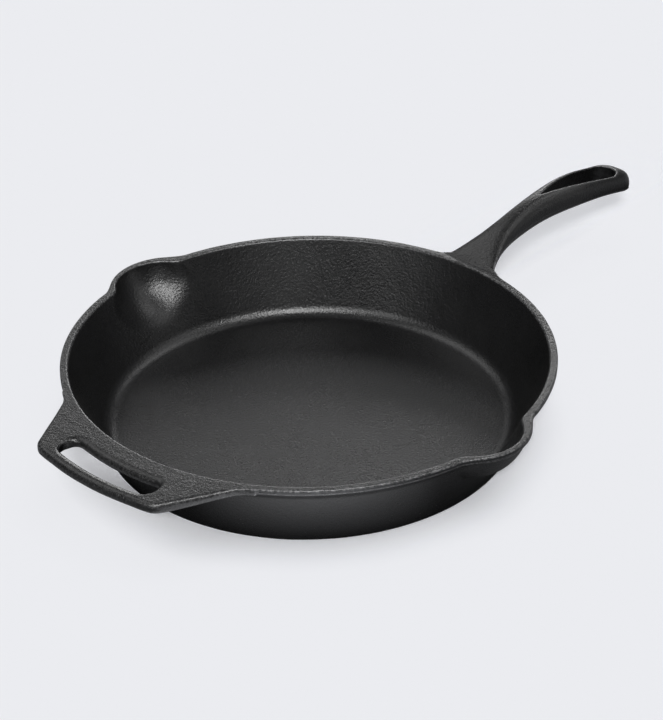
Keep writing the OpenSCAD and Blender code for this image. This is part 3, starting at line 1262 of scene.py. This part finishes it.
    def parts(self) -> MeshParts:
        """Builds the handle, its hole and its root.

        Returns:
            A closed mesh.
        """
        form = self.form
        crest_z = form.height + self.crest_rise
        mesher = FieldMesher(
            (form.rim_r - self.grid_in, -self.grid_half, form.height - self.grid_down),
            (form.rim_r + self.length + self.margin, self.grid_half, crest_z + self.margin),
            self.step,
        )
        x, y, z = mesher.grid()
        body, top = self.body(x, y, z)
        flat_x, flat_y = np.broadcast_arrays(x[:, :, 0], y[:, :, 0])
        hole = outline_distance(flat_x, flat_y, self.hole())[:, :, None]
        draft = self.hole_draft * np.clip((top - z - self.hole_straight) / self.hole_straight, 0.0, 1.0)
        body = smooth_max(body, -hole - draft, self.hole_edge)
        above = (z - np.maximum(top, form.height - self.top_gap)) * self.top_slope
        return Seat(self.root_blend).cast(form, mesher, body, above)


@dataclass(frozen=True)
class Grain:
    """One noise pattern of the iron's skin."""

    scale: float
    detail: float
    roughness: float


class NodeDeck:
    """Adds nodes and links to a shader tree."""

    def __init__(self, tree: bpy.types.NodeTree) -> None:
        """Keeps the tree that the nodes go into."""
        self.tree = tree

    @classmethod
    def group(cls, name: str, *outputs: str) -> "NodeDeck":
        """Starts a shared effect that takes a place and gives some values.

        Args:
            name: Name of the node group.
            outputs: Names of the values.

        Returns:
            A deck for the group's nodes.
        """
        tree = bpy.data.node_groups.new(name, "ShaderNodeTree")
        tree.interface.new_socket("Place", in_out="INPUT", socket_type="NodeSocketVector")
        for output in outputs:
            tree.interface.new_socket(output, in_out="OUTPUT", socket_type="NodeSocketFloat")
        return cls(tree)

    @classmethod
    def empty(cls, material: bpy.types.Material) -> "NodeDeck":
        """Starts a material afresh, without its first nodes.

        Args:
            material: The material.

        Returns:
            A deck for the material's nodes.
        """
        material.use_nodes = True
        material.node_tree.nodes.clear()
        return cls(material.node_tree)

    def add(self, kind: str, **settings: object) -> bpy.types.Node:
        """Adds a node and sets its own properties.

        Args:
            kind: Type of the node.
            settings: Properties by name.

        Returns:
            The new node.
        """
        node = self.tree.nodes.new(kind)
        for name, value in settings.items():
            setattr(node, name, value)
        return node

    def put(self, socket: Socket, value: object) -> None:
        """Sets an input to a value, or links it to another node's output.

        Args:
            socket: The input.
            value: A plain value or an output.
        """
        if isinstance(value, Socket):
            self.tree.links.new(value, socket)
        else:
            socket.default_value = value

    def feed(self, node: bpy.types.Node, **inputs: object) -> bpy.types.Node:
        """Sets or links some of a node's inputs.

        Args:
            node: The node.
            inputs: Values or outputs by the input's name, with an underscore for each space.

        Returns:
            The same node.
        """
        for name, value in inputs.items():
            self.put(node.inputs[name.replace("_", " ")], value)
        return node

    def math(self, operation: str, first: object, second: object) -> Socket:
        """Works out one number from two.

        Args:
            operation: What is done with them.
            first: A value or an output.
            second: A value or an output.

        Returns:
            The output with the result.
        """
        node = self.add("ShaderNodeMath", operation=operation)
        for socket, value in zip(node.inputs, (first, second)):
            self.put(socket, value)
        return node.outputs[0]

    def noise(self, place: Socket, grain: Grain) -> Socket:
        """Output of a noise pattern fixed to the object."""
        sizes = {"Scale": grain.scale, "Detail": grain.detail, "Roughness": grain.roughness}
        return self.feed(self.add("ShaderNodeTexNoise"), **sizes, Vector=place).outputs["Fac"]

    def apart(self, place: Socket, middle: Spot) -> Socket:
        """Works out the distance of a place from a fixed one.

        Args:
            place: Output with the place.
            middle: The fixed place in metres.

        Returns:
            The output with the distance.
        """
        node = self.add("ShaderNodeVectorMath", operation="DISTANCE")
        for socket, value in zip(node.inputs, (place, middle)):
            self.put(socket, value)
        return node.outputs["Value"]

    def blend(self, share: Socket, first: object, second: object) -> Socket:
        """Mixes two colours.

        Args:
            share: Share of the second colour.
            first: A colour or an output.
            second: A colour or an output.

        Returns:
            The output with the mixed colour.
        """
        node = self.add("ShaderNodeMix", data_type="RGBA")
        self.put(node.inputs["Factor"], share)
        colours = [socket for socket in node.inputs if socket.type == "RGBA"]
        for socket, value in zip(colours, (first, second)):
            self.put(socket, value)
        return next(socket for socket in node.outputs if socket.type == "RGBA")

    def choose(self, share: Socket, first: object, second: object) -> Socket:
        """Output of a value between two others."""
        return self.math("ADD", first, self.math("MULTIPLY", share, self.math("SUBTRACT", second, first)))

    def span(self, value: Socket, low: float, high: float, start: float, end: float) -> Socket:
        """Output of a value moved from one range to another."""
        ranges = {"From_Min": low, "From_Max": high, "To_Min": start, "To_Max": end}
        return self.feed(self.add("ShaderNodeMapRange"), Value=value, **ranges).outputs["Result"]


@dataclass(frozen=True)
class IronFinish:
    """Seasoned cast iron with a pebbled skin, finer on the cooking floor, lighter along its edges: partly
    rubbed, partly a painted highlight.

    The two shades and the mask each give the range of a pattern and the range that it becomes.
    """

    name: str = "seasoned_iron"
    dark: Four = (0.0022, 0.0022, 0.0023, 1.0)
    light: Four = (0.0062, 0.0062, 0.0064, 1.0)
    # Colour of the edges: partly rubbed iron, partly a painted highlight.
    rubbed_and_highlight: Four = (0.180, 0.180, 0.183, 1.0)
    roughness: Span = (0.22, 0.40)
    rubbed_roughness: float = 0.25
    specular: float = 0.5
    pebble: Grain = Grain(640.0, 2.0, 0.55)
    fine: Grain = Grain(1300.0, 2.0, 0.6)
    patch: Grain = Grain(24.0, 3.0, 0.6)
    broken: Grain = Grain(640.0, 3.0, 0.7)
    pebble_height: float = 0.00034
    fine_height: float = 0.4
    bump_strength: float = 0.8
    patch_shade: Four = (0.3, 0.7, 0.1, 0.6)
    pebble_shade: Four = (0.35, 0.75, 0.0, 0.4)
    rough_patch: float = 0.35
    rough_fine: float = 0.65
    rough_range: Span = (0.3, 0.7)
    broken_mask: Four = (0.44, 0.60, 0.1, 1.0)
    floor_grain: float = 0.70
    floor_z: Span = (0.0064, 0.0095)

    def skin_group(self) -> bpy.types.NodeTree:
        """Shared effect: the cast skin.

        Returns:
            A group that gives the skin's height, shade and roughness.
        """
        deck = NodeDeck.group("cast_skin", "Height", "Shade", "Roughness")
        source = deck.add("NodeGroupInput").outputs["Place"]
        pebble = deck.noise(source, self.pebble)
        fine = deck.noise(source, self.fine)
        patch = deck.noise(source, self.patch)
        upward = deck.feed(deck.add("ShaderNodeSeparateXYZ"), Vector=source).outputs["Z"]
        coarse = deck.span(upward, *self.floor_z, self.floor_grain, 1.0)
        height = deck.math("ADD", pebble, deck.math("MULTIPLY", fine, self.fine_height))
        shade = deck.math("ADD", deck.span(patch, *self.patch_shade), deck.span(pebble, *self.pebble_shade))
        rough_patch = deck.math("MULTIPLY", patch, self.rough_patch)
        rough = deck.math("ADD", rough_patch, deck.math("MULTIPLY", fine, self.rough_fine))
        deck.feed(
            deck.add("NodeGroupOutput"),
            Height=deck.math("MULTIPLY", height, coarse),
            Shade=shade,
            Roughness=deck.span(rough, *self.rough_range, *self.roughness),
        )
        return deck.tree

    def wear_and_highlight_group(self) -> bpy.types.NodeTree:
        """Shared effect: the edges that are rubbed in use and carry a painted highlight.

        Returns:
            A group that gives a mask of them.
        """
        deck = NodeDeck.group("edge_wear_and_highlight", "Mask")
        source = deck.add("NodeGroupInput").outputs["Place"]
        sharp = deck.add("ShaderNodeAttribute", attribute_name=WEAR_AND_HIGHLIGHT).outputs["Fac"]
        broken = deck.span(deck.noise(source, self.broken), *self.broken_mask)
        deck.feed(deck.add("NodeGroupOutput"), Mask=deck.math("MULTIPLY", sharp, broken))
        return deck.tree

    def material(self) -> bpy.types.Material:
        """Makes the material that every piece of iron shares.

        Returns:
            The material.
        """
        material = bpy.data.materials.new(self.name)
        deck = NodeDeck.empty(material)
        place = deck.add("ShaderNodeTexCoord").outputs["Object"]
        skin = deck.feed(deck.add("ShaderNodeGroup", node_tree=self.skin_group()), Place=place)
        wear_and_highlight = deck.feed(deck.add("ShaderNodeGroup", node_tree=self.wear_and_highlight_group()), Place=place)
        tone = deck.blend(skin.outputs["Shade"], self.dark, self.light)
        # Rubbed edges turn lighter, partly from wear and partly as a painted highlight.
        tone = deck.blend(wear_and_highlight.outputs["Mask"], tone, self.rubbed_and_highlight)
        gloss = deck.choose(wear_and_highlight.outputs["Mask"], skin.outputs["Roughness"], self.rubbed_roughness)
        bump = deck.feed(
            deck.add("ShaderNodeBump"),
            Strength=self.bump_strength, Distance=self.pebble_height, Height=skin.outputs["Height"],
        )
        shader = deck.feed(
            deck.add("ShaderNodeBsdfPrincipled"),
            Base_Color=tone, Roughness=gloss, Normal=bump.outputs["Normal"],
            Specular_IOR_Level=self.specular,
        )
        deck.feed(deck.add("ShaderNodeOutputMaterial"), Surface=shader.outputs["BSDF"])
        return material


@dataclass(frozen=True)
class Lamp:
    """Soft light so far away that it is even over the whole floor."""

    name: str
    azimuth: float
    elevation: float
    strength: float
    spread: float
    shines: bool = True
    fills: bool = True
    away: float = 2.0

    def make(self) -> bpy.types.Object:
        """Adds the light to the scene.

        Returns:
            The light's object.
        """
        data = bpy.data.lights.new(self.name, "SUN")
        data.energy = self.strength
        data.angle = math.radians(self.spread)
        lamp = bpy.data.objects.new(self.name, data)
        ahead = toward(self.azimuth, self.elevation)
        lamp.rotation_mode = "QUATERNION"
        lamp.rotation_quaternion = ahead.to_track_quat("Z", "Y")
        lamp.location = ahead * self.away
        lamp.visible_glossy = self.shines
        lamp.visible_diffuse = self.fills
        bpy.context.scene.collection.objects.link(lamp)
        return lamp


@dataclass
class Studio:
    """Plain pale floor, soft lights and the camera.

    Places and radii are in metres, and a pair of radii gives where a change starts and ends. The fields
    grip_x and grip_y give where the band of the handle's shadow starts, is full, begins to fade and ends.
    """

    backdrop: Four = (0.831, 0.839, 0.871, 1.0)
    floor_color: Four = (0.80, 0.81, 0.84, 1.0)
    floor_half: float = 40.0
    shadow_r: Span = (0.126, 0.162)
    shadow_near: float = 1.0
    shadow_far: float = 0.12
    lit_level: float = 0.715
    grip_near: float = 1.0
    grip_x: Four = (0.15, 0.20, 0.40, 0.46)
    grip_y: Four = (0.022, 0.042, 0.09, 0.13)
    # Painted shade in reflections: the mirrored floor is darker near the pan.
    mirrored_share: Span = (0.06, 0.44)
    mirrored_r: Span = (0.125, 0.185)
    mirrored_glow: float = 0.04
    # Painted light seen only in reflections: a glowing patch before the pan and a dark patch past the grip.
    painted_glow_place: Spot = (-0.135, -0.136, 0.0)
    painted_glow_r: Span = (0.02, 0.115)
    painted_glow: float = 2.8
    dark_place: Spot = (0.365, -0.025, 0.0)
    dark_r: Span = (0.04, 0.09)
    sky: float = 0.15
    elevation: float = 30.796
    azimuth: float = -135.811
    distance: float = 1.68895
    aim_height: float = 0.051
    focal_px: float = 2800.0
    frame_px: float = 720.0
    sensor: float = 36.0
    shift_px: Span = (-22.59, -7.24)
    roll: float = -0.02529
    clip: Span = (0.05, 200.0)
    lamps: tuple[Lamp, ...] = (
        Lamp("key", -135.0, 58.0, 2.1, 22.0, fills=False),
        Lamp("upper", -102.0, 60.0, 1.1, 22.0, fills=False),
        Lamp("front_low", -125.0, 20.0, 0.15, 34.0, fills=False),
        Lamp("helper_side", 180.0, 42.0, 0.8, 34.0, fills=False),
        Lamp("right_side", -50.0, 42.0, 0.3, 34.0, fills=False),
        Lamp("grip_top", 0.0, 50.0, 0.38, 28.0, fills=False),
        Lamp("right_low", -58.0, 8.0, 0.12, 20.0, fills=False),
        Lamp("handle_top", 90.0, 50.0, 0.5, 34.0, fills=False),
        Lamp("back", 45.0, 18.0, 0.225, 32.0, fills=False),
        Lamp("low_back", 38.0, 14.0, 0.3, 16.0, fills=False),
        Lamp("ceiling", -100.0, 75.0, 1.1, 46.0, shines=False),
        Lamp("front", -140.0, 34.0, 1.55, 6.0, shines=False),
    )

    def grip_shadow(self, deck: NodeDeck, place: Socket) -> Socket:
        """Share of real light in the band of floor where the long handle's shadow falls.

        Args:
            deck: Deck of the floor's material.
            place: Output with the place on the floor.

        Returns:
            The output with the share.
        """
        parts = deck.feed(deck.add("ShaderNodeSeparateXYZ"), Vector=place)
        share: object = self.grip_near
        for axis, start, full, last, end in (("X", *self.grip_x), ("Y", *self.grip_y)):
            share = deck.math("MULTIPLY", share, deck.span(parts.outputs[axis], start, full, 0.0, 1.0))
            share = deck.math("MULTIPLY", share, deck.span(parts.outputs[axis], last, end, 1.0, 0.0))
        return share

    def floor(self) -> bpy.types.Object:
        """Lays the floor under the pan: it takes a pale shadow, and in reflections it is dim, with painted
        shade and a painted glow.

        Returns:
            The floor's object.
        """
        half = self.floor_half
        corners = [(-half, -half, 0), (half, -half, 0), (half, half, 0), (-half, half, 0)]
        mesh = bpy.data.meshes.new("studio_floor")
        mesh.from_pydata(corners, [], [(0, 1, 2, 3)])
        plane = bpy.data.objects.new("studio_floor", mesh)
        bpy.context.scene.collection.objects.link(plane)
        material = bpy.data.materials.new("pale_floor")
        deck = NodeDeck.empty(material)
        seen = deck.add("ShaderNodeLightPath").outputs["Is Camera Ray"]
        place = deck.add("ShaderNodeTexCoord").outputs["Object"]
        length = deck.feed(deck.add("ShaderNodeVectorMath", operation="LENGTH"), Vector=place)
        away = length.outputs["Value"]
        # The camera sees the real shadow near the pan and the even backdrop further out.
        near = deck.span(away, *self.shadow_r, self.shadow_near, self.shadow_far)
        near = deck.math("MAXIMUM", near, self.grip_shadow(deck, place))
        even = deck.math("SUBTRACT", 1.0, deck.math("MULTIPLY", near, self.lit_level))
        # The iron mirrors a dim floor with painted light: painted shade that darkens it near the pan, a
        # painted dark patch past the grip and a glowing patch before the pan.
        dim = deck.span(away, *self.mirrored_r, *self.mirrored_share)
        # Painted dark patch past the grip, seen only in reflections.
        dark = deck.span(deck.apart(place, self.dark_place), *self.dark_r, 0.0, 1.0)
        dim = deck.math("MULTIPLY", dim, dark)
        # Painted glow: a patch before the pan that shines in reflections though it is no lamp.
        painted_glow_share = deck.span(deck.apart(place, self.painted_glow_place), *self.painted_glow_r, self.painted_glow, self.mirrored_glow)
        painted_glow_share = deck.math("MULTIPLY", painted_glow_share, deck.span(away, *self.mirrored_r, 0.0, 1.0))
        tone = deck.blend(deck.choose(seen, dim, near), BLACK, self.floor_color)
        glow = deck.choose(seen, painted_glow_share, even)
        matt = deck.feed(deck.add("ShaderNodeBsdfDiffuse"), Color=tone)
        light = deck.feed(deck.add("ShaderNodeEmission"), Color=self.backdrop, Strength=glow)
        both = deck.add("ShaderNodeAddShader")
        for socket, value in zip(both.inputs, (matt.outputs["BSDF"], light.outputs["Emission"])):
            deck.put(socket, value)
        deck.feed(deck.add("ShaderNodeOutputMaterial"), Surface=both.outputs["Shader"])
        mesh.materials.append(material)
        return plane

    def world(self) -> None:
        """Sets the even light from all round, pale where the camera sees it."""
        world = bpy.data.worlds.new("studio")
        world.use_nodes = True
        deck = NodeDeck(world.node_tree)
        path = deck.add("ShaderNodeLightPath")
        level = deck.span(path.outputs["Is Camera Ray"], 0.0, 1.0, self.sky, 1.0)
        deck.feed(world.node_tree.nodes["Background"], Color=self.backdrop, Strength=level)
        bpy.context.scene.world = world

    def camera(self) -> bpy.types.Object:
        """Places the camera at the photograph's viewing angle.

        Returns:
            The camera's object.
        """
        back = toward(self.azimuth, self.elevation)
        right = (-back).cross(Vector((0.0, 0.0, 1.0))).normalized()
        up = right.cross(-back)
        ahead, right = turned(-back, right, math.atan2(-self.shift_px[0], self.focal_px))
        ahead, up = turned(ahead, up, math.atan2(self.shift_px[1], self.focal_px))
        right, up = turned(right, up, self.roll)
        data = bpy.data.cameras.new("camera")
        data.sensor_width = self.sensor
        data.lens = self.focal_px * self.sensor / self.frame_px
        data.clip_start, data.clip_end = self.clip
        camera = bpy.data.objects.new("camera", data)
        turn = Matrix((right, up, -ahead)).transposed().to_4x4()
        place = Vector((0.0, 0.0, self.aim_height)) + back * self.distance
        camera.matrix_world = Matrix.Translation(place) @ turn
        bpy.context.scene.collection.objects.link(camera)
        bpy.context.scene.camera = camera
        return camera

    def build(self) -> None:
        """Sets up floor, light, camera and plain colour handling."""
        self.floor()
        self.world()
        for lamp in self.lamps:
            lamp.make()
        self.camera()
        bpy.context.scene.view_settings.view_transform = "Standard"


@dataclass
class Skillet:
    """All the iron of the skillet."""

    form: PanForm = field(default_factory=PanForm)
    finish: IronFinish = field(default_factory=IronFinish)

    def regions(self) -> dict[str, MeshParts]:
        """Works out the mesh of every piece.

        Returns:
            The meshes, by the name of the node that each stands for.
        """
        grid = PanGrid(self.form)
        return {
            "pan_floor": PanFloor(self.form).parts(),
            "handle_side_wall": grid.wall(Side.HANDLE),
            "helper_side_wall": grid.wall(Side.HELPER),
            "handle_side_rim": grid.rim(Side.HANDLE),
            "helper_side_rim": grid.rim(Side.HELPER),
            "left_spout": grid.spout(Side.LEFT),
            "right_spout": grid.spout(Side.RIGHT),
            "long_handle": LongHandle(self.form).parts(),
            "helper_handle": HelperHandle(self.form).parts(),
        }

    def build(self) -> None:
        """Makes, dresses and places every piece."""
        iron = self.finish.material()
        for node, parts in self.regions().items():
            piece = parts.make(f"{node}_iron")
            piece.data.materials.append(iron)
            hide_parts(node)
            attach(piece, "root")
            LOG.info("%s: %d points, %d faces", piece.name, len(parts.points), len(parts.faces))


def main() -> None:
    """Builds the skillet and the studio, and logs the points and faces of each piece."""
    logging.basicConfig(level=logging.INFO, format="%(name)s: %(message)s")
    Skillet().build()
    Studio().build()
    bpy.context.view_layer.update()


if __name__ == "__main__":
    main()
